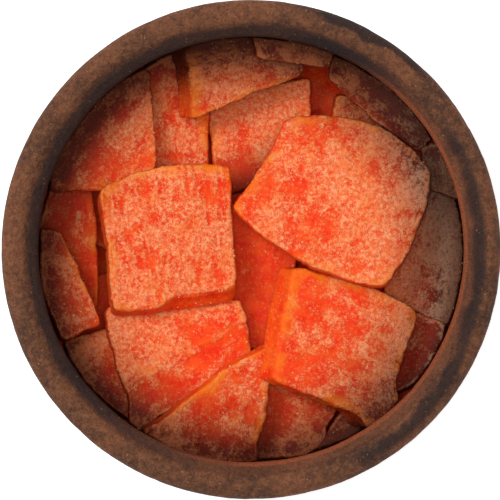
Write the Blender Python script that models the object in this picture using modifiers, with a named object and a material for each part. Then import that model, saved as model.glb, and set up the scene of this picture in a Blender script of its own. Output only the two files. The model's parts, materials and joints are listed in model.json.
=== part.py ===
"""Diced papaya: sugared squares of candied papaya heaped in a small bowl of fired clay.

Frame: +Z up, +Y away from the front, the origin at the middle of the bowl's foot, on the surface it
stands on. Sizes in the tables are millimetres. The bowl is turned from one profile. Each papaya
square is a cushioned slab from a coarse cage, and the squares are laid one by one from the bottom of
the heap up, each sinking and tipping until it rests on those already there. What lies hidden below
is one solid mass.
"""

import math
from collections import namedtuple

import bmesh
import bpy
import numpy as np
from mathutils import Vector

MM = 0.001
GAP = 0.35  # between touching pieces, and between the heap and the bowl

# The bowl
RIM_RADIUS = 50.0
RIM_HEIGHT = 51.5
ROLL_RADIUS = 2.8  # the rounded roll on the outside of the rim
ROLL_START, ROLL_END = 145.0, -25.0  # degrees round the roll, from its inner side to its outer
MOUTH_RADIUS = 42.4
MOUTH_HEIGHT = 47.5
LIP_HEIGHT = 49.8  # the flat of the rim, between the mouth and the roll
LIP_EASE = 0.9
CAVITY_RADIUS = 44.8
CAVITY_FLOOR = 7.0
CAVITY_WAIST = 40.0  # the height where the inside is widest
CAVITY_FULLNESS = 2.6  # 2 is an ellipse, more is squarer
BELLY_RADIUS = 49.3
BELLY_FLOOR = 2.6
BELLY_WAIST = 43.0
BELLY_FULLNESS = 2.4
FOOT_RADIUS = 26.0
FOOT_EASE = 0.7
FOOT_RING = 5.5
FOOT_RECESS = 1.2
BOWL_FACETS = 48

# The papaya squares
THICKNESS = 4.4
EDGE_LINE = 0.74  # where the cage's inner lines run, as a share of the half width
CAGE_GROWTH = 0.5  # subdivision draws a cage's edge in by about this much
LAYING_STEP = 0.7  # the grid on which one square is let down on another
LAYING_MARGIN = 0.5
STEEPEST = 0.24  # the slope beyond which a square would slide

# The hidden mass below the squares
HEAP_CROWN = 24.0  # its height in the middle of the bowl
HEAP_FALL = 4.0  # how much lower it is at its edge
HEAP_EDGE_RADIUS = 37.0
HEAP_BULGE = 3.0  # how far it may swell up between squares
HEAP_MARGIN = 8.5  # the mass keeps below a square this far beyond its edge

Square = namedtuple("Square", "name corners bows slant", defaults=[(0, 0)])
Place = namedtuple("Place", "square centre height slope")

# Each square from above, in the order of laying. The corners of its top run clockwise from the far
# left. The bows say how far each side swells out between them (far, right, near, left). The slant is
# how far the knife carried the underside to the side.
SQUARES = (
    Square("papaya_deep_centre", ((-5.4, 9.6), (9.6, 5), (7, -20.4), (-4, -19)), (0, 0, 0.5, 0)),
    Square("papaya_deep_left", ((-40.2, 15.4), (-31, 17), (-29.8, -6.4), (-39.2, -4.4)), (0, 0.4, 0, 1.5)),
    Square("papaya_deep_right", ((29.8, -11.6), (39.8, -15.4), (34, -26), (27, -30)), (0, 0.6, 0.4, 0)),
    Square(
        "papaya_near_left_wall", ((-38, -18.8), (-28.6, -16), (-24.2, -34.8), (-33, -27.4)),
        (0, 0, 0.5, 0.5),
    ),
    Square(
        "papaya_near_right_wall", ((19.6, -31), (26.4, -33), (20.8, -37.6), (13.6, -40.6)),
        (0, 0, 0.3, 0),
    ),
    Square(
        "papaya_far_left_strip", ((-20.2, 38), (-8.8, 41.4), (-8.6, 14.2), (-20.2, 14.6)),
        (0.4, 0, 0, 0),
    ),
    Square("papaya_far_centre", ((-7.4, 30.4), (12, 34.6), (12.6, 17), (-5.6, 10.4)), (0, -0.3, 0, 0.3)),
    Square(
        "papaya_far_right_inner", ((17.2, 31.2), (27.4, 30.2), (30.6, 17.6), (15.6, 17.6)),
        (0, 0.4, 0, 0),
    ),
    Square("papaya_near_centre", ((2.4, -24), (18.8, -30.8), (11.6, -41), (-1.4, -42.2)), (0, 0, 0.4, 0)),
    Square("papaya_right", ((29.8, 10), (41.6, 10.2), (40.4, -14), (27.4, -7.8)), (0, 1.8, 0, 0)),
    Square(
        "papaya_far_left", ((-35.4, 24.6), (-21.4, 36.6), (-20, 12.4), (-40.8, 12.2)),
        (1.2, 0.9, 0.3, 0.8),
    ),
    Square(
        "papaya_left_wall", ((-42.6, 3.6), (-38.6, 3.2), (-30.4, -15), (-38.4, -18.4)),
        (0, 0.2, 0, 1.2),
    ),
    Square("papaya_far_right_wall", ((16.6, 39.6), (36.5, 22.8), (34, 20), (16, 34.3)), (2, 0, 0.4, 0)),
    Square(
        "papaya_near_left", ((-29.3, -11.5), (-2.4, -9.9), (0.3, -23), (-22, -35.2)),
        (0, 0, 0.4, 1.4),
    ),
    Square(
        "papaya_far_top", ((-12.6, 40.4), (9.2, 39.6), (10.2, 35.1), (-11.5, 26.3)),
        (1.2, 0.6, -0.4, 0), (-2.8, -0.2),
    ),
    Square(
        "papaya_near", ((-6.4, -24.2), (2.2, -20.5), (-0.6, -42.6), (-22, -36)),
        (0.4, 0.6, 1.4, -0.8),
    ),
    Square("papaya_far_wall", ((0.2, 43), (16.2, 39.8), (15.5, 36.7), (1.1, 38.8)), (0.4, 0, 0, 0)),
    Square("papaya_right_rim", ((34.2, 20.2), (37.2, 21.4), (41.7, 10.4), (35.4, 12.6)), (0, 0.3, 0, 0)),
    Square(
        "papaya_near_right", ((9.1, -4), (33.4, -12.4), (25.2, -34.6), (4.7, -26.5)),
        (1.1, 1.4, 0, 0.3), (-3, 0.6),
    ),
    Square(
        "papaya_left", ((-31, 12), (-4.1, 17), (-2.2, -8.9), (-28.2, -12)),
        (2.2, -0.8, 0.6, -0.7), (0, -1.4),
    ),
    Square(
        "papaya_far_right", ((6.7, 26), (36.2, 15.7), (26.4, -8.1), (-4.1, 8.4)),
        (4.6, 1.8, 2.6, -1.2),
    ),
)


def superellipse(radius, floor, waist, fullness, turns):
    """Points (r, z) of a rounded wall, from the axis at its floor (turn 0) up to its waist (turn 1)."""
    angles = np.asarray(turns) * math.pi / 2
    r = radius * np.sin(angles) ** (2 / fullness)
    z = floor + (waist - floor) * (1 - np.cos(angles) ** (2 / fullness))
    return list(zip(r, z))


def inside_wall():
    """Points (r, z) of the bowl's inside, from the middle of its floor up to its widest place."""
    wall = superellipse(CAVITY_RADIUS, CAVITY_FLOOR, CAVITY_WAIST, CAVITY_FULLNESS, np.linspace(0, 1, 9))
    return [(0.0, CAVITY_FLOOR)] + wall[1:]


def wall_height(r):
    """The height of the bowl's inside at a distance from the axis."""
    wall = np.array(inside_wall())
    return np.interp(r, wall[:, 0], wall[:, 1])


def heap_level(r):
    """The height at a distance from the axis where the hidden mass holds up what is laid on it."""
    return HEAP_CROWN - HEAP_FALL * np.minimum(r / HEAP_EDGE_RADIUS, 1) ** 2


def bowl_profile():
    """The half section of the bowl: up the inside, over the rim, down the outside and under the foot."""
    neck = []
    for share in (0.35, 0.7, 1.0):
        drawn_in = (CAVITY_RADIUS - MOUTH_RADIUS) * (1 - math.cos(math.pi * share)) / 2
        neck.append((CAVITY_RADIUS - drawn_in, CAVITY_WAIST + (MOUTH_HEIGHT - CAVITY_WAIST) * share))
    lip = [
        (MOUTH_RADIUS + LIP_EASE * 0.4, MOUTH_HEIGHT + LIP_EASE),
        (MOUTH_RADIUS + LIP_EASE * 1.6, LIP_HEIGHT - 0.3),
    ]
    roll = []
    for degrees in np.linspace(ROLL_START, ROLL_END, 7):
        turn = math.radians(degrees)
        out = RIM_RADIUS - ROLL_RADIUS * (1 - math.cos(turn))
        up = RIM_HEIGHT - ROLL_RADIUS * (1 - math.sin(turn))
        roll.append((out, up))
    outside = superellipse(BELLY_RADIUS, BELLY_FLOOR, BELLY_WAIST, BELLY_FULLNESS, np.linspace(1, 0.3, 6))
    foot = [
        (FOOT_RADIUS, FOOT_EASE),
        (FOOT_RADIUS - FOOT_EASE, 0.0),
        (FOOT_RADIUS - FOOT_RING, 0.0),
        (FOOT_RADIUS - FOOT_RING - FOOT_RECESS, FOOT_RECESS),
        (0.0, FOOT_RECESS),
    ]
    return inside_wall() + neck + lip + roll + outside + foot


def link(obj, collection):
    collection.objects.link(obj)
    return obj


def make_bowl(collection, material):
    """The clay bowl, turned round +Z from its half section."""
    profile = bowl_profile()
    mesh = bpy.data.meshes.new("clay_bowl")
    mesh.from_pydata(
        [(r * MM, 0.0, z * MM) for r, z in profile],
        [(i, i + 1) for i in range(len(profile) - 1)],
        [],
    )
    bowl = link(bpy.data.objects.new("clay_bowl", mesh), collection)
    turn = bowl.modifiers.new("turn", "SCREW")
    turn.axis = "Z"
    turn.angle = 2 * math.pi
    turn.steps = BOWL_FACETS
    turn.render_steps = BOWL_FACETS
    turn.use_merge_vertices = True
    turn.merge_threshold = 0.01 * MM
    turn.use_smooth_shade = True
    mesh.materials.append(material)
    return bowl


def centre_of(square):
    return np.mean(np.array(square.corners, float), axis=0)


def plan_point(square, s, t):
    """A point of the square's top seen from above, for s and t from -1 to 1 across and along it."""
    far_left, far_right, near_right, near_left = np.array(square.corners, float)
    across_far = far_left + (far_right - far_left) * (s + 1) / 2
    across_near = near_left + (near_right - near_left) * (s + 1) / 2
    point = across_near + (across_far - across_near) * (t + 1) / 2
    sides = (
        (far_left, far_right, (1 + t) / 2 * (1 - s * s)),
        (far_right, near_right, (1 + s) / 2 * (1 - t * t)),
        (near_right, near_left, (1 - t) / 2 * (1 - s * s)),
        (near_left, far_left, (1 - s) / 2 * (1 - t * t)),
    )
    for (start, end, weight), bow in zip(sides, square.bows):
        along = (end - start) / np.linalg.norm(end - start)
        outward = np.array((-along[1], along[0]))
        point = point + outward * bow * weight
    return point


def outline_of(square, growth=0.0):
    """The outline of a square's top as a ring of points, grown outwards from its centre."""
    steps = np.linspace(-1, 1, 7)[:-1]
    ring = [plan_point(square, s, 1) for s in steps]
    ring += [plan_point(square, 1, -t) for t in steps]
    ring += [plan_point(square, -s, -1) for s in steps]
    ring += [plan_point(square, -1, t) for t in steps]
    ring = np.array(ring)
    out = ring - centre_of(square)
    return ring + out / np.linalg.norm(out, axis=1)[:, None] * growth


def inside_of(ring, points):
    """Which points lie inside a closed ring, by counting the sides that a line to +X crosses."""
    start, end = ring, np.roll(ring, -1, axis=0)
    x, y = points[:, 0, None], points[:, 1, None]
    spans = (start[:, 1] > y) != (end[:, 1] > y)
    rise = np.where(end[:, 1] == start[:, 1], 1.0, end[:, 1] - start[:, 1])
    crossing = start[:, 0] + (y - start[:, 1]) * (end[:, 0] - start[:, 0]) / rise
    return (spans & (x < crossing)).sum(axis=1) % 2 == 1


def covers(square, points, growth):
    """Which points the square lies over, counting its top and its slanted underside."""
    ring = outline_of(square, growth)
    return inside_of(ring, points) | inside_of(ring + np.array(square.slant), points)


def middle_height(place, points):
    """The height of a laid square's middle plane at plan points."""
    return place.height + (points - place.centre) @ place.slope


def half_height(slope):
    return THICKNESS / 2 * math.sqrt(1 + slope @ slope)


def ground_below(square, laid):
    """Plan points under a square, with the height of whatever is there for it to come down on."""
    ring = outline_of(square, LAYING_MARGIN)
    low, high = ring.min(axis=0) - 4.5, ring.max(axis=0) + 4.5
    lines = [np.arange(start, end, LAYING_STEP) for start, end in zip(low, high)]
    points = np.stack(np.meshgrid(*lines), -1).reshape(-1, 2)
    points = points[covers(square, points, LAYING_MARGIN)]
    far = np.linalg.norm(points, axis=1)
    ground = np.maximum(heap_level(far), wall_height(far + GAP))
    for place in laid:
        both = covers(place.square, points, LAYING_MARGIN)
        top = middle_height(place, points) + half_height(place.slope)
        ground = np.where(both, np.maximum(ground, top), ground)
    return points, ground + GAP


def rest_height(offsets, ground, slope):
    """How high the centre of a square with this slope lies once some part of it touches the ground."""
    return (ground - offsets @ slope).max() + half_height(slope)


def settle(square, laid):
    """Lower a square on the heap, tipping it this way and that for as long as its centre sinks."""
    centre = centre_of(square)
    points, ground = ground_below(square, laid)
    slope = np.zeros(2)
    height = rest_height(points - centre, ground, slope)
    for step in (0.08, 0.04, 0.02, 0.01):
        sinking = True
        while sinking:
            sinking = False
            for turn in np.arange(8) * math.pi / 4:
                tipped = slope + step * np.array((math.cos(turn), math.sin(turn)))
                lower = rest_height(points - centre, ground, tipped)
                if lower < height - 0.01 and np.linalg.norm(tipped) < STEEPEST:
                    slope, height, sinking = tipped, lower, True
    return Place(square, centre, height, slope)


def lay_squares():
    """Every square in the place where it comes to rest, from the bottom of the heap up."""
    laid = []
    for square in SQUARES:
        laid.append(settle(square, laid))
    return laid


def cage_line(share):
    """The cage's lines stand close to the edges, so the middle stays flat and the edges turn over."""
    return math.copysign(1.0 if abs(share) > 0.9 else EDGE_LINE, share)


def make_square(place, collection, material):
    """One papaya square: a cage of three by three cells, smoothed once, leaning as it lies."""
    square = place.square
    cage = bmesh.new()
    bmesh.ops.create_cube(cage, size=2.0)
    level = [e for e in cage.edges if abs(e.verts[0].co.z - e.verts[1].co.z) < 1.0]
    bmesh.ops.subdivide_edges(cage, edges=level, cuts=2, use_grid_fill=True)
    for vertex in cage.verts:
        s, t, w = vertex.co
        plan = plan_point(square, cage_line(s), cage_line(t)) - place.centre
        plan = plan * (1 + CAGE_GROWTH / np.linalg.norm(plan))
        plan = plan + np.array(square.slant) * (1 - w) / 2
        vertex.co = Vector((plan[0], plan[1], w * THICKNESS / 2)) * MM
    mesh = bpy.data.meshes.new(square.name)
    cage.to_mesh(mesh)
    cage.free()
    mesh.shade_smooth()
    mesh.materials.append(material)
    obj = link(bpy.data.objects.new(square.name, mesh), collection)
    smooth = obj.modifiers.new("smooth", "SUBSURF")
    smooth.levels = 1
    smooth.render_levels = 1
    upright = Vector((-place.slope[0], -place.slope[1], 1.0))
    obj.rotation_mode = "QUATERNION"
    obj.rotation_quaternion = Vector((0.0, 0.0, 1.0)).rotation_difference(upright)
    obj.location = Vector((place.centre[0], place.centre[1], place.height)) * MM
    return obj


def heap_top(point, laid):
    """The height of the hidden mass at a plan point: just under every square that is near."""
    here = np.array([point])
    height = heap_level(math.hypot(*point)) + HEAP_BULGE
    for place in laid:
        if covers(place.square, here, HEAP_MARGIN)[0]:
            underside = middle_height(place, here)[0] - half_height(place.slope)
            height = min(height, underside - 2 * GAP)
    return height


def make_heap(laid, collection, material):
    """The hidden papaya below the squares, as one mass that fills the bowl, from a sphere reshaped."""
    ball = bmesh.new()
    bmesh.ops.create_uvsphere(ball, u_segments=36, v_segments=16, radius=1.0)
    for vertex in ball.verts:
        x, y, z = vertex.co
        reach = HEAP_EDGE_RADIUS * math.hypot(x, y)
        bearing = math.atan2(y, x)
        point = np.array((reach * math.cos(bearing), reach * math.sin(bearing)))
        bottom = wall_height(reach + GAP) + GAP
        height = max(heap_top(point, laid), bottom + 0.5) if z > 0.0001 else bottom
        vertex.co = Vector((point[0], point[1], height)) * MM
    mesh = bpy.data.meshes.new("papaya_below")
    ball.to_mesh(mesh)
    ball.free()
    mesh.shade_smooth()
    mesh.materials.append(material)
    return link(bpy.data.objects.new("papaya_below", mesh), collection)


def make_material(name, colour, roughness):
    material = bpy.data.materials.new(name)
    material.use_nodes = True
    shader = material.node_tree.nodes["Principled BSDF"]
    shader.inputs["Base Color"].default_value = (*colour, 1.0)
    shader.inputs["Roughness"].default_value = roughness
    shader.inputs["Metallic"].default_value = 0.0
    return material


def main():
    for obj in list(bpy.data.objects):
        bpy.data.objects.remove(obj)
    collection = bpy.data.collections.new("diced_papaya")
    bpy.context.scene.collection.children.link(collection)
    clay = make_material("fired_clay", (0.12, 0.07, 0.045), 0.75)
    flesh = make_material("sugared_papaya", (0.80, 0.16, 0.05), 0.6)
    make_bowl(collection, clay)
    laid = lay_squares()
    make_heap(laid, collection, flesh)
    for place in laid:
        make_square(place, collection, flesh)


main()
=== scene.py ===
"""Diced papaya in a small clay bowl. Metres, +Z up, the bowl's foot on the floor at the origin."""

import json
import math
from collections import namedtuple

import bpy
import numpy as np

from mathutils.bvhtree import BVHTree
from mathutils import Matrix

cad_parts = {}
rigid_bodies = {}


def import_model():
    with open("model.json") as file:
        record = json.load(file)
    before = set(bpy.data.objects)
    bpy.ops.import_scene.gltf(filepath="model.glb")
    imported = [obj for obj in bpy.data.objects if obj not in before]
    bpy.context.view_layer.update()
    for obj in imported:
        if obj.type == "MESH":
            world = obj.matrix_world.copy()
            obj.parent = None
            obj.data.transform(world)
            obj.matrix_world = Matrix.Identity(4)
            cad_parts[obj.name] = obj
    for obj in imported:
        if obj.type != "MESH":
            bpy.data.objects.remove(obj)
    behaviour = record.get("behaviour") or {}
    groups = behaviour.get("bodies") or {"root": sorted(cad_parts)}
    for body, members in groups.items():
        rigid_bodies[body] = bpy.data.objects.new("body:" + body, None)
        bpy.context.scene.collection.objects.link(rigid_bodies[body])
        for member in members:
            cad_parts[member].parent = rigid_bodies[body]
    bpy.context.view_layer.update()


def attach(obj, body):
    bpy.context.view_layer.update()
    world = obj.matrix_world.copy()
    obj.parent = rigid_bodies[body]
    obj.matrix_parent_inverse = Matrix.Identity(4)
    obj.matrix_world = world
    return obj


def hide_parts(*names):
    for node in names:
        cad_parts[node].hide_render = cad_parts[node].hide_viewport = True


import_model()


# ---- The bowl ----
# A small bowl of coarse brown clay, thrown on a wheel and fired without a glaze. The wood fire left
# smoke marks on its rim, nearly black in places, and the turning left faint rings.

MM = 0.001  # shapes are worked out in millimetres, and the meshes are in metres
STUDIO = 1.1  # how bright the light makes a white thing

RIM_RADIUS, RIM_HEIGHT, ROLL_RADIUS = 50.0, 51.5, 2.8
MOUTH_RADIUS, MOUTH_HEIGHT, LIP_HEIGHT, LIP_EASE = 42.4, 47.5, 49.8, 0.9
CAVITY_RADIUS, CAVITY_FLOOR, CAVITY_WAIST, CAVITY_FULLNESS = 44.8, 7.0, 40.0, 2.6
BELLY_RADIUS, BELLY_FLOOR, BELLY_WAIST, BELLY_FULLNESS = 49.3, 2.6, 43.0, 2.4
FOOT_RADIUS, FOOT_EASE, FOOT_RING, FOOT_RECESS = 26.0, 0.7, 5.5, 1.2
RIM_MIDDLE = 46.3  # the middle of the rim's breadth, seen from above
SECTION_POINTS, BOWL_BEARINGS = 340, 288


def colour(red, green, blue):
    """The paint that looks like this screen colour (0 to 255) in the studio's light."""
    share = np.array((red, green, blue)) / 255
    linear = np.where(share <= 0.04045, share / 12.92, ((share + 0.055) / 1.055) ** 2.4)
    return (*(linear / STUDIO).tolist(), 1.0)


class Wire:
    """A shader socket that takes part in sums: each operator adds the Math node that works it out."""

    def __init__(self, finish, socket):
        self.finish = finish
        self.socket = socket

    def math(self, operation, *others):
        """The Math node of this operation on this wire and the others."""
        sockets = dict(enumerate((self, *others)))
        return self.finish.add("ShaderNodeMath", {"operation": operation}, sockets)

    def __add__(self, other):
        return self.math("ADD", other)

    __radd__ = __add__

    def __sub__(self, other):
        return self.math("SUBTRACT", other)

    def __rsub__(self, other):
        return self.finish.add("ShaderNodeMath", {"operation": "SUBTRACT"}, {0: other, 1: self})

    def __mul__(self, other):
        return self.math("MULTIPLY", other)

    __rmul__ = __mul__

    def __truediv__(self, other):
        return self.math("DIVIDE", other)

    def __pow__(self, other):
        return self.math("POWER", other)

    def step(self, low, high):
        """0 below low, 1 above high, and an eased slope between; low may be the greater."""
        sockets = {"Value": self, "From Min": low, "From Max": high}
        return self.finish.add("ShaderNodeMapRange", {"interpolation_type": "SMOOTHSTEP"}, sockets)


class Finish:
    """A material built round one Principled shader, with the nodes that vary it over a surface."""

    def __init__(self, name, **constants):
        self.material = bpy.data.materials.new(name)
        self.material.use_nodes = True
        self.tree = self.material.node_tree
        self.shader = self.tree.nodes["Principled BSDF"]
        for socket, value in constants.items():
            self.shader.inputs[socket.replace("_", " ")].default_value = value
        self.place = self.add("ShaderNodeTexCoord", {}, {}, "Object")

    def add(self, kind, settings, sockets, out=0):
        """A node of this kind: its settings first, then its sockets' values or links."""
        node = self.tree.nodes.new(kind)
        for name, value in settings.items():
            setattr(node, name, value)
        for name, value in sockets.items():
            if isinstance(value, Wire):
                self.tree.links.new(value.socket, node.inputs[name])
            else:
                node.inputs[name].default_value = value
        return Wire(self, node.outputs[out])

    def along(self, axis):
        """How far along this axis, X, Y or Z, a point of the surface lies, in metres."""
        return self.add("ShaderNodeSeparateXYZ", {}, {"Vector": self.place}, axis)

    def given(self, name):
        """The number of this name that the mesh carries for each of its points."""
        return self.add("ShaderNodeAttribute", {"attribute_name": name}, {}, "Fac")

    def noise(self, size, detail, rough):
        """Cloudy noise about 0.5, with features of this many millimetres."""
        sockets = {"Vector": self.place, "Scale": 1 / MM / size, "Detail": detail, "Roughness": rough}
        return self.add("ShaderNodeTexNoise", {}, sockets)

    def mix(self, share, low, high, how="MIX"):
        """The colour low where share is 0 and high where it is 1. A Mix node that mixes colours takes
        its share in socket 0 and the colours in 6 and 7, and its result is output 2."""
        settings = {"data_type": "RGBA", "blend_type": how}
        return self.add("ShaderNodeMix", settings, {0: share, 6: low, 7: high}, 2)

    def bump(self, height, depth):
        """A normal tilted as if the surface stood up by depth millimetres where height is 1."""
        sockets = {"Height": height, "Distance": depth * MM, "Strength": 1.0}
        return self.add("ShaderNodeBump", {}, sockets, "Normal")

    def feed(self, **wires):
        """Link each wire to the shader's socket of its name."""
        for socket, wire in wires.items():
            self.tree.links.new(wire.socket, self.shader.inputs[socket.replace("_", " ")])


def cloud(points, size, seed):
    """Smooth noise from -1 to 1 at points in millimetres: a slope for each corner of a grid of cubes
    of this size, drawn from a seeded table, eased from corner to corner."""
    table = np.random.default_rng(seed)
    slopes = table.normal(size=(256, 3))
    slopes /= np.linalg.norm(slopes, axis=1)[:, None]
    shuffle = table.permutation(256)
    cell = points / size + 1000.0
    base = np.floor(cell).astype(np.int64)
    part = cell - base
    ease = part**3 * (part * (part * 6 - 15) + 10)
    total = np.zeros(points.shape[:-1])
    for corner in np.ndindex(2, 2, 2):
        at = base + corner
        key = shuffle[(shuffle[(shuffle[at[..., 0] & 255] + at[..., 1]) & 255] + at[..., 2]) & 255]
        reach = part - corner
        share = np.where(np.array(corner) == 1, ease, 1 - ease).prod(axis=-1)
        total += share * (slopes[key] * reach).sum(axis=-1)
    return total * 1.6


def eased(value, low, high):
    """0 below low, 1 above high, and an eased slope between; low may be the greater."""
    share = np.clip((value - low) / (high - low), 0, 1)
    return share * share * (3 - 2 * share)


def mesh_from(name, points, corners, sizes):
    """A mesh of points in metres. The corners of its faces follow one another, and sizes says how
    many each face has."""
    mesh = bpy.data.meshes.new(name)
    mesh.vertices.add(len(points))
    mesh.vertices.foreach_set("co", points.ravel())
    mesh.loops.add(len(corners))
    mesh.loops.foreach_set("vertex_index", corners)
    mesh.polygons.add(len(sizes))
    mesh.polygons.foreach_set("loop_start", np.concatenate(((0,), np.cumsum(sizes)[:-1])))
    mesh.update(calc_edges=True)
    return mesh


def skin(name, rings, top, bottom):
    """A closed mesh from rings of points (ring, place on the ring, xyz) in millimetres, running from
    the point top down to the point bottom, each ring counter-clockwise seen from the top."""
    count, around = rings.shape[:2]
    points = np.concatenate((top[None], rings.reshape(-1, 3), bottom[None])) * MM
    this = np.arange(around)
    after = (this + 1) % around
    start = 1 + np.arange(count - 1)[:, None] * around
    quads = np.stack((start + this, start + around + this, start + around + after, start + after), -1)
    first = np.stack((np.zeros(around, int), 1 + this, 1 + after), -1)
    last = 1 + (count - 1) * around
    final = np.stack((np.full(around, len(points) - 1), last + after, last + this), -1)
    corners = np.concatenate((first.ravel(), quads.ravel(), final.ravel()))
    fan = np.full(around, 3)
    sizes = np.concatenate((fan, np.full((count - 1) * around, 4), fan))
    mesh = mesh_from(name, points, corners, sizes)
    mesh.shade_smooth()
    return mesh


def show(name, mesh, material, slot, *nodes):
    """The mesh as a piece on the root body that stands for these nodes of the model."""
    piece = bpy.data.objects.new(name, mesh)
    bpy.context.scene.collection.objects.link(piece)
    mesh.materials.append(material)
    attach(piece, "root")
    if nodes:
        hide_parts(*nodes)


def wall_curve(radius, floor, waist, fullness, turns):
    """Points (r, z) of a rounded wall, a quarter of a superellipse from the axis up to its waist."""
    angles = turns * math.pi / 2
    r = radius * np.sin(angles) ** (2 / fullness)
    z = floor + (waist - floor) * (1 - np.cos(angles) ** (2 / fullness))
    return np.stack((r, z), -1)


def inside_wall(turns):
    """Points (r, z) of the bowl's inside, from its floor, turn 0, up to its waist, turn 1."""
    return wall_curve(CAVITY_RADIUS, CAVITY_FLOOR, CAVITY_WAIST, CAVITY_FULLNESS, turns)


def drawn_in(share):
    """How far the inside leans in towards the mouth: half a cosine wave, from nothing at the waist,
    share 0, to the full difference of their radii at the mouth, share 1."""
    return (CAVITY_RADIUS - MOUTH_RADIUS) * (1 - np.cos(math.pi * share)) / 2


def bowl_section():
    """The half section (r, z): from the foot's middle, out and up the belly, over the rim and down
    the inside to the floor. The lip and the roll are joined by short straight eases."""
    foot = np.array((
        (FOOT_RADIUS - FOOT_RING - FOOT_RECESS, FOOT_RECESS),
        (FOOT_RADIUS - FOOT_RING, 0.0),
        (FOOT_RADIUS - FOOT_EASE, 0.0),
        (FOOT_RADIUS, FOOT_EASE),
    ))
    belly = wall_curve(BELLY_RADIUS, BELLY_FLOOR, BELLY_WAIST, BELLY_FULLNESS, np.linspace(0.3, 1, 40))
    turn = np.radians(np.linspace(-25, 145, 30))
    roll = np.stack((
        RIM_RADIUS - ROLL_RADIUS * (1 - np.cos(turn)),
        RIM_HEIGHT - ROLL_RADIUS * (1 - np.sin(turn)),
    ), -1)
    lip = np.array((
        (MOUTH_RADIUS + LIP_EASE * 1.6, LIP_HEIGHT - 0.3),
        (MOUTH_RADIUS + LIP_EASE * 0.4, MOUTH_HEIGHT + LIP_EASE),
    ))
    share = np.linspace(1, 0.1, 10)
    neck = np.stack((
        CAVITY_RADIUS - drawn_in(share),
        CAVITY_WAIST + (MOUTH_HEIGHT - CAVITY_WAIST) * share,
    ), -1)
    return np.concatenate((foot, belly, roll, lip, neck, inside_wall(np.linspace(1, 0.04, 60))))


def respaced(line, count):
    """The same line with its points at even distances along it."""
    along = np.concatenate(((0,), np.cumsum(np.linalg.norm(np.diff(line, axis=0), axis=1))))
    even = np.linspace(0, along[-1], count)
    return np.stack([np.interp(even, along, line[:, axis]) for axis in range(line.shape[1])], -1)


def softened(line, rounds):
    """The line with each inner point drawn to the middle of its neighbours, a few times over."""
    line = line.copy()
    for _ in range(rounds):
        line[1:-1] = (line[:-2] + 2 * line[1:-1] + line[2:]) / 4
    return line


section = softened(respaced(bowl_section(), SECTION_POINTS), 2)[::-1]
section[:, 1] = np.maximum(section[:, 1], 0)
bearing = np.linspace(0, 2 * math.pi, BOWL_BEARINGS, endpoint=False)
clay = np.stack((
    section[:, None, 0] * np.cos(bearing),
    section[:, None, 0] * np.sin(bearing),
    np.broadcast_to(section[:, None, 1], (SECTION_POINTS, BOWL_BEARINGS)),
), -1)
ahead = np.gradient(section, axis=0)
outward = np.stack((-ahead[:, 1], ahead[:, 0]), -1)
outward /= np.linalg.norm(outward, axis=1)[:, None]

# how far the clay lies below its turned shape: broad dents and a fine grain, the turning's rings,
# and pits, all of which fade out where it stands on the floor
dented = 0.08 * cloud(clay, 7.0, 1) + 0.05 * cloud(clay, 1.6, 2)
dented += 0.035 * cloud(clay * (0.02, 0.02, 1), 0.9, 3) + 0.08
dented += 0.2 * eased(cloud(clay, 1.1, 4), 0.42, 0.75)
dented *= eased(clay[..., 2], 0.0, 1.2)
clay[..., 0] -= dented * outward[:, None, 0] * np.cos(bearing)
clay[..., 1] -= dented * outward[:, None, 0] * np.sin(bearing)
clay[..., 2] -= dented * outward[:, None, 1]
bowl_mesh = skin("bowl", clay, np.array((0, 0, CAVITY_FLOOR)), np.array((0, 0, FOOT_RECESS)))

# radius and up are in millimetres; angle is in radians, counter-clockwise from the right
fired = Finish("fired_clay", Specular_IOR_Level=0.18)
east = fired.along("X")
north = fired.along("Y")
up = fired.along("Z") / MM
radius = (east * east + north * north) ** 0.5 / MM
angle = north.math("ARCTAN2", east)

# the clay itself: brown, in broad patches of two tones with paler and darker grain
broad = fired.noise(11, 5, 0.62)
fine = fired.noise(1.2, 5, 0.7)
tone = fired.mix(broad.step(0.34, 0.66), colour(80, 52, 39), colour(120, 74, 50))
tone = fired.mix(fine.step(0.42, 0.72) * 0.5, tone, colour(156, 102, 68))
tone = fired.mix(fine.step(0.5, 0.3) * 0.4, tone, colour(60, 41, 33))

# smoke marks with ragged edges: both edges of the rim at the far right, and a streak along its
# right side that wanders outwards as it comes nearer
smoke = fired.noise(8, 6, 0.62)
ragged = radius + (smoke - 0.5) * 3.6
rim_edges = (ragged - RIM_MIDDLE).math("ABSOLUTE").step(0.9, 2.6)
far_right = angle.step(0.7, 0.88) * angle.step(1.52, 1.2) * rim_edges
streak = (ragged - 45.7 - angle.step(-0.2, -0.8) * 1.7).math("ABSOLUTE").step(2.6, 0.2)
streak = streak * angle.step(-1.25, -0.95) * angle.step(0.66, 0.45)
on_rim = (up + (smoke - 0.5) * 14).step(38, 48)
burnt = (smoke * 0.95 + (far_right * 0.52 + streak * 0.46) * on_rim).step(0.54, 0.96)
tone = fired.mix(burnt * 0.85, tone, colour(44, 34, 33))

# the mouth's inner edge: painted light in a warm strip at the near right, painted shade elsewhere
inner = (radius + (smoke - 0.5) * 2).step(45.6, 44.2) * up.step(36, 40)
painted_lip_light = inner * angle.step(-2.4, -1.5) * angle.step(1.2, 0.7)
tone = fired.mix(painted_lip_light * 0.5, tone, colour(112, 66, 45))
# a brighter painted highlight along the very edge of the lit strip
tone = fired.mix(painted_lip_light * radius.step(43.6, 43.0) * 0.8, tone, colour(158, 84, 52))
# painted shade, a dark grey, on the rest of the inner edge
tone = fired.mix(inner * (1 - painted_lip_light) * 0.8, tone, colour(43, 35, 36))

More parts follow.
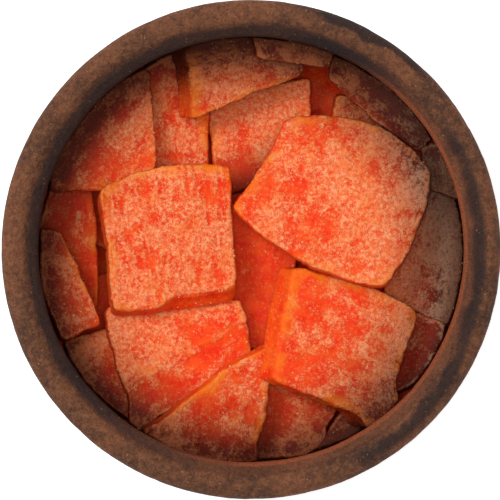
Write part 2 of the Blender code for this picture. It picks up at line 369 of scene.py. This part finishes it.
# pale flecks of grit, and a grain of dark pores over everything
flecks = fired.noise(0.7, 2, 0.5)
grain = fired.noise(0.35, 2, 0.6)
tone = fired.mix(flecks.step(0.68, 0.78) * 0.45, tone, colour(200, 142, 98))
pores = fired.mix(1.0, tone, colour(96, 88, 84), "MULTIPLY")
tone = fired.mix((grain - 0.5) * 2.4 + 0.95, pores, tone)
fired.feed(
    Base_Color=tone,
    Roughness=0.72 + fine * 0.2,
    Normal=fired.bump(fine * 1.2 + flecks * 0.6 + grain * 0.4, 0.25),
)
show("bowl", bowl_mesh, fired.material, "clay", "clay_bowl")


# ---- The papaya squares ----
# Squares of papaya simmered in syrup until red and clear, dried until their faces wrinkled, and
# tossed in fine sugar, which clings in blotches and has worn off along the edges.

THICKNESS = 4.4
EDGE_ROUND = 0.9
SQUARENESS = 14.0  # the power of a square's superellipse, which rounds its corners
GAP_FILL = 0.35  # how much wider a square is than its corners say, so that neighbours touch
WALL_GAP = 0.5  # how far the papaya keeps from the turned shape of the clay

# How far from the axis a square's edge begins to be pressed on the wall, and is fully pressed. It
# then spreads out to the pressed radius, but by no more than the greatest spread.
PRESSED_FROM, PRESSED_FULLY = 38.5, 40.8
PRESSED_RADIUS, GREATEST_SPREAD = 43.0, 3
DRIFT_SPAN = 13  # from a square's middle to its side, over which drift and sunk take full effect
FINE_GRID, PLAIN_GRID = (320, 90), (200, 52)  # points round a square, and rings on its top

# The painted shade under the bowl's rim, its dusk, by distance from the middle: at 1 the papaya is
# painted in the colours of shade, and beyond 1 it goes on to dark brown.
DUSK_RADII = (24, 28, 33, 36.5, 40, 43)
DUSK_DEPTHS = (0, 0.12, 0.5, 0.87, 1.2, 1.55)

# Corners: of the top, from above (far left, far right, near right, near left). Bows: how far the
# sides swell out (far, right, near, left). Sugar: how much clings to it, from 0 to 1, and drift, how
# much more towards the right and the far side. Slant: how far its underside is carried to the side.
# Fibres: their bearing in degrees, and streaks, how strongly they show. Edges: how bare of sugar they
# are worn (far, right, near, left). Cut: a side (0 far, 1 right, 2 near, 3 left) whose upper edge the
# knife took off, by how much, and where along it the cut starts and is full. Ridge: the line of a
# fold in its top. Wave: how much its outline wanders. Shade: its share of the painted shade under
# the rim. Sunk shade: how much painted shade darkens it towards the right and the far side, where
# it dips under others.
# The squares are listed in the order in which they came to rest, the lowest first.
Slab = namedtuple(
    "Slab",
    "corners bows sugar slant drift fibres streaks edges cut ridge wave shade sunk",
    defaults=((0, 0), (0, 0), 0, 0.2, (0, 0, 0, 0), None, None, 0.3, 1.0, (0, 0)),
)
SQUARES = {
    "papaya_deep_centre": Slab(
        ((-5.4, 9.6), (9.6, 5), (7, -20.4), (-4, -19)), (0, 0, 0.5, 0),
        sugar=0.1, drift=(0, 0.1), fibres=80,
    ),
    "papaya_deep_left": Slab(
        ((-40.2, 15.4), (-32.9, 17), (-31, -12.5), (-39.4, -6.4)), (0, 0.4, 0, 1.5),
        sugar=0.42, fibres=95, edges=(0.2, 1.2, 0.2, 0.3), shade=0.7,
    ),
    "papaya_deep_right": Slab(
        ((29.8, -11.6), (39.8, -15.4), (34, -26), (27, -30)), (0, 0.6, 0.4, 0),
        sugar=0.4, fibres=60, edges=(0.2, 0, 0.2, 0.5), shade=0.68,
    ),
    "papaya_near_left_wall": Slab(
        ((-38, -18.8), (-28.6, -16), (-24.2, -34.8), (-33, -27.4)), (0, 0, 0.5, 0.5),
        sugar=0.5, drift=(0.2, 0.1), fibres=120, edges=(0.3, 0.5, 0, 0), shade=0.9,
    ),
    "papaya_near_right_wall": Slab(
        ((19.6, -31), (26.4, -33), (20.8, -37.6), (13.6, -40.6)), (0, 0, 0.3, 0),
        sugar=0.35, fibres=30, edges=(0.2, 0.2, 0, 0.2),
    ),
    "papaya_far_left_strip": Slab(
        ((-20.2, 38), (-8.8, 41.4), (-8.6, 14.2), (-20.2, 14.6)), (0.4, 0, 0, 0),
        sugar=0.55, drift=(-0.1, -0.1), fibres=90, streaks=0.3, edges=(0, 1.3, 0, 0),
        shade=0.5, sunk=(0, 0.4),
    ),
    # bare and dark red at its near end: partly less sugar, partly painted shade where it dips under
    # others
    "papaya_far_centre": Slab(
        ((-8.4, 30.4), (12, 34.6), (12.6, 17), (-6.6, 10.4)), (0, -0.3, 0, 0.3),
        sugar=0.78, drift=(-0.15, 1.7), fibres=100, streaks=0.25, edges=(0.2, 0.3, 0, 0.8),
        shade=0, sunk=(0.35, -1.1),
    ),
    "papaya_far_right_inner": Slab(
        ((17.2, 31.2), (27.4, 30.2), (30.6, 17.6), (15.6, 17.6)), (0, 0.4, 0, 0),
        sugar=0.6, fibres=130, edges=(0.3, 0.2, 0, 0.6),
    ),
    "papaya_near_centre": Slab(
        ((2.4, -24), (18.8, -30.8), (11.6, -41), (-1.4, -42.2)), (0, 0, 0.4, 0),
        sugar=0.5, fibres=150, streaks=0.25, edges=(0.3, 0.2, 0.2, 0.2), shade=0.88,
    ),
    "papaya_right": Slab(
        ((29.8, 13), (41.2, 12.4), (40.4, -15.2), (27, -9.4)), (0, 1.8, 0, 0),
        sugar=0.7, drift=(0.55, 0.1), fibres=75, streaks=0.3, edges=(0.1, 0.1, 0.2, 0.2),
        shade=0.86,
    ),
    "papaya_far_left": Slab(
        ((-35.4, 24.6), (-21.4, 36.6), (-20, 12.4), (-40.8, 12.2)), (1.2, 0.9, 0.3, 0.8),
        sugar=0.48, drift=(0.25, 0), fibres=50, streaks=0.25, edges=(0.1, 0.5, 1.6, 0.1),
        shade=0.88,
    ),
    "papaya_left_wall": Slab(
        ((-42.6, 3.6), (-38.6, 3.2), (-30.4, -15), (-38.4, -18.4)), (0, 0.2, 0, 1.2),
        sugar=0.55, fibres=110, edges=(0.2, 1, 0.2, 0.1), shade=0.85,
    ),
    "papaya_far_right_wall": Slab(
        ((16.6, 39.6), (36.5, 22.8), (34, 20), (16, 34.3)), (2, 0, 0.4, 0),
        sugar=0.5, fibres=140, edges=(0, 0.1, 0.4, 0.3), shade=0.9,
    ),
    "papaya_near_left": Slab(
        ((-29.3, -11.5), (-2.4, -9.9), (0.3, -23), (-22, -35.2)), (0, 0, 0.4, 1.4),
        sugar=0.55, drift=(-0.25, 0.05), fibres=35, streaks=0.35, edges=(0.1, 0.5, 0.3, 0.2),
        ridge=((-26.3, -27.3), (-2.9, -15.2)),
    ),
    "papaya_far_top": Slab(
        ((-12.6, 41.6), (9.2, 40.6), (10.2, 35.1), (-11.5, 26.3)), (1.2, 0.6, -0.4, 0),
        sugar=0.6, slant=(-2.8, -0.2), drift=(0.05, 0.1), fibres=10, streaks=0.25,
        edges=(0.1, 0.3, 0.9, 1.7),
    ),
    "papaya_near": Slab(
        ((-6.4, -24.3), (4.2, -19.4), (-0.6, -42.6), (-22, -36)), (0.3, 1.2, 1.4, -0.5),
        sugar=0.5, drift=(0, 0.05), fibres=75, streaks=0.3, edges=(1.4, 0.9, 0.2, 1.2),
        wave=0.7, shade=0.9,
    ),
    "papaya_far_wall": Slab(
        ((0.2, 43), (16.2, 39.8), (15.5, 36.7), (1.1, 38.8)), (0.4, 0, 0, 0),
        sugar=0.66, fibres=170, edges=(0, 0.2, 0.4, 0), shade=0.88,
    ),
    "papaya_right_rim": Slab(
        ((34.2, 20.2), (37.2, 21.4), (41.7, 10.4), (35.4, 12.6)), (0, 0.3, 0, 0),
        sugar=0.65, fibres=100, edges=(0.2, 0, 0.2, 0.4),
    ),
    "papaya_near_right": Slab(
        ((9.1, -4), (33.4, -12.4), (25.2, -34.6), (4.7, -26.5)), (1.1, 0.6, 0, 0.3),
        sugar=0.52, slant=(-3, 0.6), drift=(0.22, -0.05), fibres=160, edges=(1.1, 1.4, 1.5, 1.1),
        shade=0.85,
    ),
    "papaya_left": Slab(
        ((-31, 12), (-4.1, 17), (-2.2, -8.9), (-28.2, -12)), (2.2, -0.8, 0.6, -0.7),
        sugar=0.66, slant=(0, -1.4), fibres=94, streaks=0.7, edges=(1.6, 0.4, 0.4, 0.9),
        cut=(2, 2.2, -0.35, 0.1),
    ),
    "papaya_far_right": Slab(
        ((6.7, 26), (36.2, 15.7), (26.4, -8.1), (-4.1, 8.4)), (4.6, 1.8, 2.6, -1.2),
        sugar=0.6, drift=(0.2, -0.1), fibres=60, streaks=0.25, edges=(0.8, 0.5, 0.6, 0.8),
    ),
}
LARGE = ("papaya_left", "papaya_far_right", "papaya_near_right", "papaya_near_left", "papaya_near")


def plan(corners, bows, s, t):
    """Points of a square from above, for s and t from -1 to 1: its corners blended, and each side
    pushed out by its bow times a parabola that is 0 at its ends."""
    far_left, far_right, near_right, near_left = np.array(corners, float)
    s, t = s[..., None], t[..., None]
    across_far = far_left + (far_right - far_left) * (s + 1) / 2
    across_near = near_left + (near_right - near_left) * (s + 1) / 2
    points = across_near + (across_far - across_near) * (t + 1) / 2
    sides = (
        (far_left, far_right, (1 + t) / 2 * (1 - s * s)),
        (far_right, near_right, (1 + s) / 2 * (1 - t * t)),
        (near_right, near_left, (1 - t) / 2 * (1 - s * s)),
        (near_left, far_left, (1 - s) / 2 * (1 - t * t)),
    )
    for (start, end, share), bow in zip(sides, bows):
        along = (end - start) / np.linalg.norm(end - start)
        points = points + share * bow * np.array((-along[1], along[0]))
    return points


def centre_of(slab):
    """The middle of a square from above, the mean of its corners."""
    return np.mean(np.array(slab.corners, float), axis=0)


def read(items, name, width=1, kind=float):
    """One property of a mesh's points, faces or corners as an array, with width numbers to each."""
    values = np.empty(len(items) * width, kind)
    items.foreach_get(name, values)
    return values.reshape(-1, width) if width > 1 else values


def resting_plane(node):
    """The upward normal of a node's top face and a point on it, in millimetres: the mean over its
    triangles that look up, each by its area."""
    faces = node.data.polygons
    area, normal, middle = read(faces, "area"), read(faces, "normal", 3), read(faces, "center", 3)
    upper = normal[:, 2] > 0.8
    mean = (normal[upper] * area[upper, None]).sum(axis=0)
    mean /= np.linalg.norm(mean)
    flat = normal @ mean > 0.995
    return mean, (middle[flat] * area[flat, None]).sum(axis=0) / area[flat].sum() / MM


def cavity_reach(height):
    """How far from the axis the bowl's inside wall stands at these heights, in millimetres."""
    wall = inside_wall(np.linspace(0, 1, 200))
    share = np.clip((height - CAVITY_WAIST) / (MOUTH_HEIGHT - CAVITY_WAIST), 0, 1)
    return np.interp(height, wall[:, 1], wall[:, 0]) - drawn_in(share)


def tilt_of(normal):
    """The rotation that carries +Z to this normal by the shortest way."""
    x, y, z = normal
    return np.array((
        (1 - x * x / (1 + z), -x * y / (1 + z), x),
        (-x * y / (1 + z), 1 - y * y / (1 + z), y),
        (-x, -y, z),
    ))


def square_outline(slab, seed, around):
    """A square's outline from above, which is a superellipse mapped on its plan, and wavers. For each
    point: its place s, t on the plan, its heading from the middle, and its distance from there."""
    turn = np.linspace(0, 2 * math.pi, around, endpoint=False)
    power = SQUARENESS
    reach = (np.abs(np.cos(turn)) ** power + np.abs(np.sin(turn)) ** power) ** (-1 / power)
    s, t = reach * np.cos(turn), reach * np.sin(turn)
    centre = centre_of(slab)
    outline = plan(slab.corners, slab.bows, s, t) - centre
    distance = np.linalg.norm(outline, axis=1)
    heading = outline / distance[:, None]
    ring = np.stack((*outline.T, np.full(around, seed * 7.0)), -1)
    distance = distance + GAP_FILL
    distance += slab.wave * cloud(ring, 4.5, seed) + 0.2 * cloud(ring, 1.5, seed + 1)
    distance += 0.1 * cloud(ring, 0.6, seed + 18)
    # soft as it is, a square that meets the bowl's wall head on spreads against it
    reached = np.linalg.norm(outline + centre, axis=1)
    head_on = np.clip(((outline + centre) * heading).sum(axis=1) / reached, 0, 1) ** 2
    spread = np.clip(PRESSED_RADIUS - reached, 0, GREATEST_SPREAD)
    distance += spread * eased(reached, PRESSED_FROM, PRESSED_FULLY) * head_on
    return s, t, heading, distance


def square_rings(flat_rings):
    """The rings of a square, from the middle of its top out to the edge, round it, down the side, and
    back under to the middle. For each: its share of the way from the middle to the edge's rounding,
    how far it then stands out towards the outline, and its height."""
    half = THICKNESS / 2
    corner = np.linspace(0, math.pi / 2, 9)[1:]
    share = np.linspace(0, 1, flat_rings + 1)[1:]
    under = np.linspace(1, 0, 20)[1:-1]
    side = np.linspace(1, -1, 7)[1:-1]
    inward = np.concatenate((share, np.ones(len(corner) * 2 + len(side)), under))
    out = np.concatenate((
        np.zeros(flat_rings),
        EDGE_ROUND * np.sin(corner),
        EDGE_ROUND - 0.25 * (1 - side**2),
        EDGE_ROUND * np.cos(corner),
        np.zeros(len(under)),
    ))
    height = np.concatenate((
        np.full(flat_rings, half),
        half - EDGE_ROUND * (1 - np.cos(corner)),
        side * (half - EDGE_ROUND),
        -half + EDGE_ROUND * (1 - np.sin(corner)),
        np.full(len(under), -half),
    ))
    return inward, out, height


def papaya_square(slab, seed, around, flat_rings):
    """A square in its own plane, with how sugared and how worn it is at each point: its outline
    repeated on every ring, and then wrinkles, fibres, pits and sugar that move each point along the
    surface's normal."""
    s, t, heading, distance = square_outline(slab, seed, around)
    inward, out, height = square_rings(flat_rings)
    half = THICKNESS / 2
    towards = [np.clip(way, 0, 1) ** 5 for way in (t, s, -t, -s)]
    taken = np.zeros(around)
    if slab.cut:
        which, depth, start, full = slab.cut
        taken = depth * towards[which] * eased((s, t)[which % 2], start, full)
    edge = distance - EDGE_ROUND - taken * (height[:, None] + half) / THICKNESS
    length = inward[:, None] * edge + out[:, None]
    shape = np.empty((len(inward), around, 3))
    shape[..., :2] = length[..., None] * heading
    shape[..., 2] = height[:, None]

    down = np.gradient(shape, axis=0)
    along = (np.roll(shape, -1, axis=1) - np.roll(shape, 1, axis=1)) / 2
    normal = np.cross(down, along)
    normal /= np.linalg.norm(normal, axis=-1)[..., None] + 1e-9
    facing_up = eased(normal[..., 2], 0.3, 0.9)

    def waves(size, number):
        """The cloud of this size over the square; each number gives it another pattern."""
        return cloud(shape, size, seed + number)

    # wrinkles, and fibres drawn out along their bearing
    wrinkle = 0.4 * waves(9.0, 2) + 0.16 * waves(3.4, 3)
    bearing = math.radians(slab.fibres)
    grain_way = np.array((
        (math.cos(bearing), math.sin(bearing), 0),
        (-math.sin(bearing), math.cos(bearing), 0),
        (0, 0, 1),
    ))
    strand = cloud((shape @ grain_way.T) * (0.2, 1.0, 0.6), 0.8, seed + 4)

    # a band along the bare edges where the sugar is worn off, and a line of it caked on the others
    bareness = sum(share * way for share, way in zip(slab.edges, towards))
    bare = np.minimum(bareness, 1)
    inset = edge + EDGE_ROUND - length
    width = 0.8 + 2.2 * bare
    worn = eased(inset + 0.8 * waves(2.4, 5), width, width * 0.25)
    worn = worn * bareness * eased(waves(5.0, 6), -0.6, 0.3) * (0.25 + 0.75 * facing_up)
    caked = eased(inset + 0.5 * waves(1.8, 14), 1.2, 0.3) * (1 - bare) * 0.7
    blotch = (
        0.56 * waves(7.5, 7) + 0.56 * waves(3.0, 8) + 0.3 * waves(1.4, 9) + 0.14 * waves(0.6, 10)
        + slab.streaks * strand + 2 * (slab.sugar - 0.5)
        + (shape[..., :2] @ np.array(slab.drift)) / DRIFT_SPAN + caked
    )

    # a fold: a crest along its line, worn here and there, and a lower face beyond it, barer of sugar;
    # the dark red of that bareness also serves as painted shade on the face
    if slab.ridge:
        start, end = np.array(slab.ridge) - centre_of(slab)
        way = (end - start) / np.linalg.norm(end - start)
        past = (shape[..., :2] - start) @ np.array((way[1], -way[0])) + 0.8 * waves(5.0, 15)
        crest = np.exp(-((past / 0.9) ** 2))
        below = eased(past + waves(1.6, 17), -0.6, 2.0)
        wrinkle = wrinkle + 0.5 * np.exp(-((past / 2.6) ** 2)) - 0.3 * below
        blotch = blotch - 0.5 * below * eased(past, 12, 4) + 0.15 * (1 - below)
        worn = worn + 0.3 * crest * eased(waves(3.0, 16), -0.4, 0.4) * facing_up

    worn = np.clip(worn, 0, 1)
    sliced = eased(taken, 0.2, 1.2) * eased(normal[..., 2], 0.85, 0.65)
    frost = eased(blotch - 0.05 * worn, -0.62, 0.7) * (0.1 + 0.9 * facing_up) * (1 - 0.8 * sliced)
    pits = eased(waves(0.9, 11), 0.35, 0.8) * (1 - frost)
    crumbs = waves(0.42, 12)
    lift = (wrinkle - 0.15) * (0.3 + 0.7 * facing_up) + 0.06 * strand
    lift = lift + frost * (0.12 + 0.09 * crumbs) - 0.12 * pits
    # the rings meet at the middle, where nothing is lifted
    points = shape + normal * (lift * eased(length, 0.0, 2.0))[..., None]
    points[..., 2] += 0.5 * cloud(points * (1, 1, 0), 26.0, seed + 13)
    points[..., :2] += np.array(slab.slant) * (1 - points[..., 2:] / half) / 2
    return points, frost, worn


def dusk_at(placed, slab):
    """How deep in the painted shade under the bowl's rim each point of a placed square lies. It reaches
    further in at the right than at the left, least far at the near side, and is scaled by the slab's
    own shade; the slab's sunk shade adds to it."""
    far = np.linalg.norm(placed[..., :2], axis=-1)
    nearer = np.clip(-placed[..., 1] / (far + 1), 0, 1)
    aside = 1.1 * placed[..., 0] / (far + 1)
    gloom = np.interp(far + aside - 1.5 * nearer, DUSK_RADII, DUSK_DEPTHS) * slab.shade
    offset = placed[..., :2] - centre_of(slab)
    return gloom + np.clip(offset @ np.array(slab.sunk) / DRIFT_SPAN, 0, 1)


def give(mesh, name, values):
    """A number for each point of the mesh, under this name."""
    layer = mesh.attributes.new(name, "FLOAT", "POINT")
    layer.data.foreach_set("value", values.astype(np.float32))


papaya = Finish(
    "sugared_papaya", IOR=1.45, Specular_IOR_Level=0.1,
    Subsurface_Weight=0.42, Subsurface_Scale=0.002, Subsurface_Radius=(1.0, 0.25, 0.1),
)
frost = papaya.given("frost")
worn = papaya.given("worn")
dusk = papaya.given("dusk")
speckle = papaya.noise(0.8, 3, 0.75)
grit = papaya.noise(0.2, 1, 0.5)

# red flesh, mottled, and orange where it is worn bare
mottle = papaya.noise(3.2, 4, 0.65)
flesh = papaya.mix(mottle.step(0.3, 0.7), colour(242, 44, 8), colour(252, 86, 24))
flesh = papaya.mix(worn * mottle.step(0.2, 0.6) * 0.9, flesh, colour(250, 122, 20))

# a pale pink crust of sugar, warmer in patches and along the worn edges
crust = papaya.mix(speckle.step(0.36, 0.68), colour(248, 106, 54), colour(255, 178, 126))
warmth = papaya.noise(5, 2, 0.5)
crust = papaya.mix(warmth.step(0.45, 0.65) * 0.5, crust, colour(250, 132, 64))
crust = papaya.mix(worn * 0.75, crust, colour(255, 148, 66))

# the crust covers the flesh in clumps of granules, whose cells are shaken out of line
wobble = papaya.add("ShaderNodeTexNoise", {}, {"Vector": papaya.place, "Scale": 1000 / 0.6}, "Color")
sway = papaya.add("ShaderNodeVectorMath", {"operation": "SCALE"}, {0: wobble, "Scale": 0.5 * MM})
moved = papaya.add("ShaderNodeVectorMath", {"operation": "ADD"}, {0: papaya.place, 1: sway})
granule = papaya.add("ShaderNodeTexVoronoi", {}, {"Vector": moved, "Scale": 1000 / 0.62})
cover = frost + (speckle - 0.5) * 0.9 + (0.42 - granule) * 0.85 + (grit - 0.5) * 1.2
cover = cover.step(-0.05, 1.0)
surface = papaya.mix(cover * 0.92, flesh, crust)

# painted shade under the rim: the flesh is painted dark red and its sugar brown, greyer towards the
# right
rightwards = papaya.along("X").step(0.02, 0.036)
shaded_sugar = papaya.mix(rightwards, colour(140, 78, 48), colour(156, 114, 90))
shaded_sugar = papaya.mix(worn * 0.6, shaded_sugar, colour(182, 94, 38))
twilight = papaya.mix(cover, colour(84, 17, 5), shaded_sugar)
surface = papaya.mix(dusk, surface, twilight)
# the deepest painted shade, by the wall, goes on to dark brown
surface = papaya.mix(dusk.step(0.95, 1.4) * 0.7, surface, colour(60, 25, 14))
papaya.feed(
    Base_Color=surface,
    Roughness=0.5 + cover * 0.35,
    Normal=papaya.bump(speckle * 0.6 + grit * 0.4 + cover * 0.6, 0.12),
)


def place_square(label, slab, seed, grid, normal, level, *nodes):
    """Make a square and lay it with this normal on its top, which stands this high over its centre.
    What would pass through the bowl's floor or wall is pushed back inside."""
    points, frosting, bared = papaya_square(slab, seed, *grid)
    tilt = tilt_of(normal)
    middle = np.array((*centre_of(slab), level - THICKNESS / 2 / normal[2]))
    placed = points @ tilt.T + middle
    placed[..., 2] = np.maximum(placed[..., 2], CAVITY_FLOOR + 2)
    reach = np.hypot(placed[..., 0], placed[..., 1])
    placed[..., :2] *= np.minimum(1, (cavity_reach(placed[..., 2]) - WALL_GAP) / reach)[..., None]
    crown = np.array((0, 0, points[0, :, 2].mean())) @ tilt.T + middle
    base = np.array((0, 0, points[-1, :, 2].mean())) @ tilt.T + middle
    mesh = skin(label, placed, crown, base)
    layers = {"frost": frosting, "worn": bared, "dusk": dusk_at(placed, slab)}
    for layer, values in layers.items():
        give(mesh, layer, np.concatenate(((values[:1].mean(),), values.ravel(), (values[-1:].mean(),))))
    show(label, mesh, papaya.material, "papaya", *nodes)


for number, (name, slab) in enumerate(SQUARES.items()):
    normal, top = resting_plane(bpy.data.objects[name])
    level = top[2] - ((centre_of(slab) - top[:2]) @ normal[:2]) / normal[2]
    grid = FINE_GRID if name in LARGE else PLAIN_GRID
    place_square("sugared_" + name, slab, 100 + number * 20, grid, normal, level, name)


# ---- The papaya at the bottom of the bowl ----
# More of the same squares lie below, the lowest stuck together in a lump that fills the bowl's
# bottom. Only their upper sides show, through the gaps.

LUMP_RADIUS, LUMP_TOP = 43.2, 14.4
LUMP_BEARINGS, TOP_RINGS, UNDER_RINGS = 200, 60, 40

# The lower layer's rings of squares: each ring's radius, how many lie on it, the first one's bearing
# in degrees, and half their side.
LOWER_LAYER = ((0.0, 1, 0, 9.0), (17.5, 6, 12, 8.6), (31.0, 11, 5, 7.6))
LOWER_GRID = (120, 24)
LOWER_SINK = 0.4  # how far their tops keep below the top of the model's own heap

# the lump: out over its top and back under it, each ring no lower than a lining on the bowl's wall
spread = np.concatenate((np.linspace(0.02, 1, TOP_RINGS), np.linspace(1, 0.02, UNDER_RINGS)))
turn = np.linspace(0, 2 * math.pi, LUMP_BEARINGS, endpoint=False)
lump = np.empty((len(spread), len(turn), 3))
lump[..., 0] = spread[:, None] * LUMP_RADIUS * np.cos(turn)
lump[..., 1] = spread[:, None] * LUMP_RADIUS * np.sin(turn)
wall = inside_wall(np.linspace(0, 1, 200))
far = np.linalg.norm(lump[..., :2], axis=-1)
underside = np.interp(far + WALL_GAP, wall[:, 0], wall[:, 1]) + WALL_GAP
lump[..., 2] = underside
rough = 0.8 * cloud(lump[:TOP_RINGS] * (1, 1, 0), 9.0, 50)
lining = underside[:TOP_RINGS] + 1.6 * eased(far[:TOP_RINGS], LUMP_RADIUS, 41) + 0.2 + 0.3 * rough
lump[:TOP_RINGS, :, 2] = np.maximum(LUMP_TOP + rough, lining)
lump_mesh = skin(
    "papaya_lump", lump,
    np.array((0, 0, LUMP_TOP)), np.array((0, 0, CAVITY_FLOOR + WALL_GAP)),
)
# painted shade: the lump darkens towards the bowl's wall, as under the rim
gloom = np.interp(far, (30, 36, 42), (0, 0.2, 0.6)).ravel()
give(lump_mesh, "dusk", np.concatenate(((0,), gloom, (0,))))
give(lump_mesh, "frost", np.full(len(lump_mesh.vertices), 0.1))
give(lump_mesh, "worn", np.zeros(len(lump_mesh.vertices)))
show("papaya_lump", lump_mesh, papaya.material, "papaya", "papaya_below")

# the lower layer: each square lies flat, just below the lowest spot of the model's own heap within
# its outline, found by 25 rays from above
heap_mesh = bpy.data.objects["papaya_below"].data
heap = BVHTree.FromPolygons(
    [vertex.co for vertex in heap_mesh.vertices],
    [tuple(polygon.vertices) for polygon in heap_mesh.polygons],
)
for ring_radius, count, start, half_side in LOWER_LAYER:
    for index in range(count):
        seed = int(1000 + ring_radius * 40 + index * 20)
        draw = np.random.default_rng(seed)
        bearing = math.radians(start + index * 360 / count + draw.uniform(-5, 5))
        centre = ring_radius * np.array((math.cos(bearing), math.sin(bearing)))
        turned = bearing + draw.uniform(-0.25, 0.25)
        half_sides = half_side * draw.uniform(0.92, 1.05, 2)
        across = half_sides[0] * np.array((-math.sin(turned), math.cos(turned)))
        outwards = half_sides[1] * np.array((math.cos(turned), math.sin(turned)))
        corners = [centre + outwards + across, centre + outwards - across]
        corners += [centre - outwards - across, centre - outwards + across]
        level = math.inf
        for s, t in np.ndindex(5, 5):
            spot = centre + across * (s / 2 - 1) + outwards * (t / 2 - 1)
            where, *_ = heap.ray_cast((*(spot * MM), 0.1), (0, 0, -1))
            if where:
                level = min(level, where[2] / MM)
        slab = Slab(corners, (0.4, 0.2, 0.5, 0.1), 0.15, fibres=draw.uniform(0, 180), shade=0.55)
        flat = np.array((0.0, 0.0, 1.0))
        place_square(f"papaya_below_{seed}", slab, seed, LOWER_GRID, flat, level - LOWER_SINK)


# ---- Loose sugar ----
# Coarser crystals of the sugar that lie on the frosted tops: small blocks with uneven corners, about
# a quarter of a millimetre across.

CRYSTALS_PER_MM2 = 0.9
HALF_SIZES = (0.07, 0.16)
RESTING_LIFT = 0.07  # how far a crystal's middle lies above the face that it rests on

sugar = Finish("sugar_crystals", Roughness=0.5, Specular_IOR_Level=0.08)
each = sugar.noise(1.5, 1, 0.5)
bright = sugar.mix(each.step(0.3, 0.7), colour(250, 122, 70), colour(255, 176, 128))
# crystals in the painted shade under the rim are painted a dull brown
sugar.feed(Base_Color=sugar.mix(sugar.given("dusk"), bright, colour(138, 90, 66)))

block = np.array([(x, y, z) for x in (-1, 1) for y in (-1, 1) for z in (-1, 1)], float)
block_faces = np.array((
    (0, 1, 3, 2), (4, 6, 7, 5), (0, 4, 5, 1), (2, 3, 7, 6), (0, 2, 6, 4), (1, 5, 7, 3),
))
grain_corners, grain_gloom = [], []
for number, name in enumerate(SQUARES):
    mesh = bpy.data.objects["sugared_" + name].data
    faces = mesh.polygons
    area, normal, middle = read(faces, "area"), read(faces, "normal", 3), read(faces, "center", 3)
    # a face takes the sugar and the dusk of its first corner
    first = read(mesh.loops, "vertex_index", kind=int)[read(faces, "loop_start", kind=int)]
    frosting = read(mesh.attributes["frost"].data, "value", kind=np.float32)[first]
    gloom = read(mesh.attributes["dusk"].data, "value", kind=np.float32)[first]
    weight = area * (normal[:, 2] > 0.6) * (0.06 + frosting**2)
    draw = np.random.default_rng(900 + number)
    count = int(weight.sum() / MM**2 * CRYSTALS_PER_MM2)
    picked = draw.choice(len(faces), count, p=weight / weight.sum())
    size = draw.uniform(*HALF_SIZES, (count, 1, 1)) * draw.uniform(0.7, 1.3, (count, 1, 3))
    turned, _ = np.linalg.qr(draw.normal(size=(count, 3, 3)))
    corners = (block * size * draw.uniform(0.75, 1.1, (count, 8, 1))) @ turned
    corners += (middle[picked] / MM + RESTING_LIFT * normal[picked])[:, None]
    corners[..., :2] += draw.uniform(-0.1, 0.1, (count, 1, 2))
    grain_corners.append(corners)
    grain_gloom.append(gloom[picked])

corners = np.concatenate(grain_corners)
quads = block_faces + 8 * np.arange(len(corners))[:, None, None]
grain_points = corners.reshape(-1, 3) * MM
grains = mesh_from("loose_sugar", grain_points, quads.ravel(), np.full(len(corners) * 6, 4))
give(grains, "dusk", np.repeat(np.concatenate(grain_gloom), 8))
show("loose_sugar", grains, sugar.material, "papaya")


# ---- Floor, light and camera ----
# A pale floor, soft light from all round with more of it from the far left, and a long lens
# straight above.

FLOOR_REACH, FLOOR_DROP = 40.0, 0.0002  # metres; the drop keeps the floor clear of the foot
AMBIENT = 0.42
LAMP_AIM_HEIGHT = 0.04
CAMERA_PLACE = (-0.0002, -0.0001, 1.5)
FRAME_WIDTH = 0.0999  # how much of the scene the picture spans at the height where the rim is widest
SENSOR_WIDTH = 36.0

floor_corners = np.array(((-1, -1, 0), (1, -1, 0), (1, 1, 0), (-1, 1, 0))) * FLOOR_REACH
floor_corners[:, 2] = -FLOOR_DROP
floor_mesh = mesh_from("floor", floor_corners, np.arange(4), np.array((4,)))
floor = bpy.data.objects.new("floor", floor_mesh)
bpy.context.scene.collection.objects.link(floor)
pale = Finish(
    "pale_floor", Roughness=0.9, Base_Color=(0.9, 0.9, 0.9, 1),
    Emission_Color=(1, 1, 1, 1), Emission_Strength=0.6,
)
floor_mesh.materials.append(pale.material)

world = bpy.data.worlds.new("studio")
bpy.context.scene.world = world
world.use_nodes = True
world.node_tree.nodes["Background"].inputs["Color"].default_value = (1, 1, 1, 1)
world.node_tree.nodes["Background"].inputs["Strength"].default_value = AMBIENT
bpy.context.scene.view_settings.view_transform = "Standard"


def lamp(name, place, size, power):
    """A square soft lamp at this place, this wide and with this power in watts, facing the bowl."""
    light = bpy.data.lights.new(name, "AREA")
    light.size = size
    light.energy = power
    holder = bpy.data.objects.new(name, light)
    bpy.context.scene.collection.objects.link(holder)
    holder.location = place
    aim = holder.location.copy()
    aim.z -= LAMP_AIM_HEIGHT
    holder.rotation_euler = aim.to_track_quat("Z", "Y").to_euler()


lamp("key", (-0.47, 0.28, 1.0), 0.4, 7.0)
lamp("top", (0.0, 0.0, 1.3), 0.3, 4.6)

lens = bpy.data.cameras.new("camera")
lens.sensor_width = SENSOR_WIDTH
lens.lens = SENSOR_WIDTH * (CAMERA_PLACE[2] - (RIM_HEIGHT - ROLL_RADIUS) * MM) / FRAME_WIDTH
lens.clip_start = 0.01
camera = bpy.data.objects.new("camera", lens)
bpy.context.scene.collection.objects.link(camera)
camera.location = CAMERA_PLACE
bpy.context.scene.camera = camera
